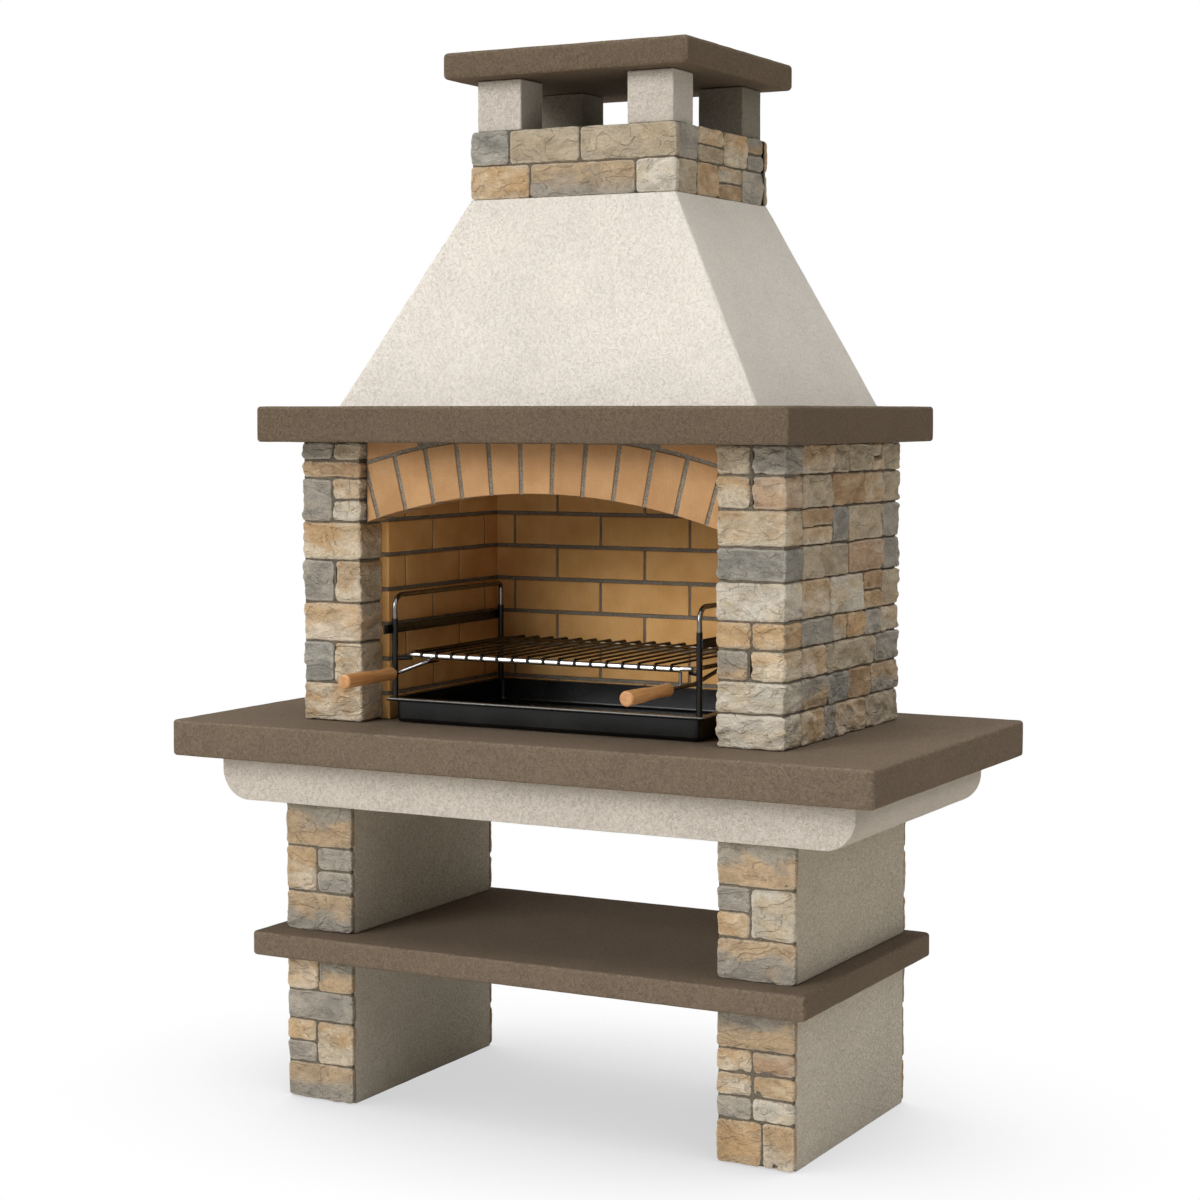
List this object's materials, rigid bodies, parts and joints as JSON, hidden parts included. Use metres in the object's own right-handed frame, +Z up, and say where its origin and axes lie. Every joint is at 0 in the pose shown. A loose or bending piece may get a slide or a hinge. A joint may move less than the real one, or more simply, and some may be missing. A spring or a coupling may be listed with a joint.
{
  "type": "outdoor fireplace grill",
  "caption": "Free-standing masonry grill: stone-faced legs and pillars, shelf, worktop, brick firebox under an arch, smoke hood, chimney, fire tray and lift-out wire grid.",
  "frame": {"origin": "on the floor, under the middle of the object's box (the worktop's back edge to the grips' front ends)", "axes": "+X to the object's right as seen from the front, +Y from the front to the back, +Z up"},
  "size_m": [1.669, 0.926, 2.305],
  "materials": {
    "cream_concrete": "fine textured cast concrete",
    "brown_concrete": "fine grained coloured concrete",
    "facing_stone": "rock-faced, tan, cream and grey",
    "firebrick": "smooth matt brick",
    "mortar": "recessed grey mortar",
    "black_steel": "satin black enamel",
    "chrome_wire": "bright plated rod",
    "grip_wood": "turned and oiled"
  },
  "bodies": {
    "masonry": {"worktop_support": "cream_concrete", "lower_shelf": "brown_concrete", "worktop": "brown_concrete", "mantel": "brown_concrete", "hood": "cream_concrete", "back_wall": "cream_concrete", "back_lining_bricks": "firebrick", "back_lining_mortar": "mortar", "arch_bricks": "firebrick", "arch_mortar": "mortar", "spandrel_bricks": "firebrick", "chimney_collar": "cream_concrete", "collar_stones": "facing_stone", "chimney_cap": "brown_concrete", "left_lower_leg": "cream_concrete", "left_lower_leg_stones": "facing_stone", "left_upper_leg": "cream_concrete", "left_upper_leg_stones": "facing_stone", "left_wall": "cream_concrete", "left_side_stones": "facing_stone", "left_pillar_stones": "facing_stone", "left_pillar_pointing": "mortar", "left_lining_bricks": "firebrick", "left_lining_mortar": "mortar", "left_front_block": "cream_concrete", "left_back_block": "cream_concrete", "right_lower_leg": "cream_concrete", "right_lower_leg_stones": "facing_stone", "right_upper_leg": "cream_concrete", "right_upper_leg_stones": "facing_stone", "right_wall": "cream_concrete", "right_side_stones": "facing_stone", "right_pillar_stones": "facing_stone", "right_pillar_pointing": "mortar", "right_lining_bricks": "firebrick", "right_lining_mortar": "mortar", "right_front_block": "cream_concrete", "right_back_block": "cream_concrete"},
    "fire_tray": {"charcoal_tray": "black_steel", "left_front_post": "black_steel", "left_back_post": "black_steel", "left_top_rail": "chrome_wire", "left_flat_bar": "black_steel", "right_front_post": "black_steel", "right_back_post": "black_steel", "right_top_rail": "chrome_wire", "right_flat_bar": "black_steel"},
    "cooking_grid": {"grid_frame": "chrome_wire", "grid_wires": "chrome_wire", "left_handle_rod": "chrome_wire", "left_ferrule": "chrome_wire", "left_grip": "grip_wood", "right_handle_rod": "chrome_wire", "right_ferrule": "chrome_wire", "right_grip": "grip_wood"}
  },
  "joints": [
    {"name": "tray_slide", "type": "slide", "parent": "masonry", "child": "fire_tray", "axis": [0, -1, 0], "range_m": [0, 0.15]},
    {"name": "grid_lift", "type": "slide", "parent": "fire_tray", "child": "cooking_grid", "axis": [0, 0, 1], "range_m": [0, 0.08]}
  ]
}
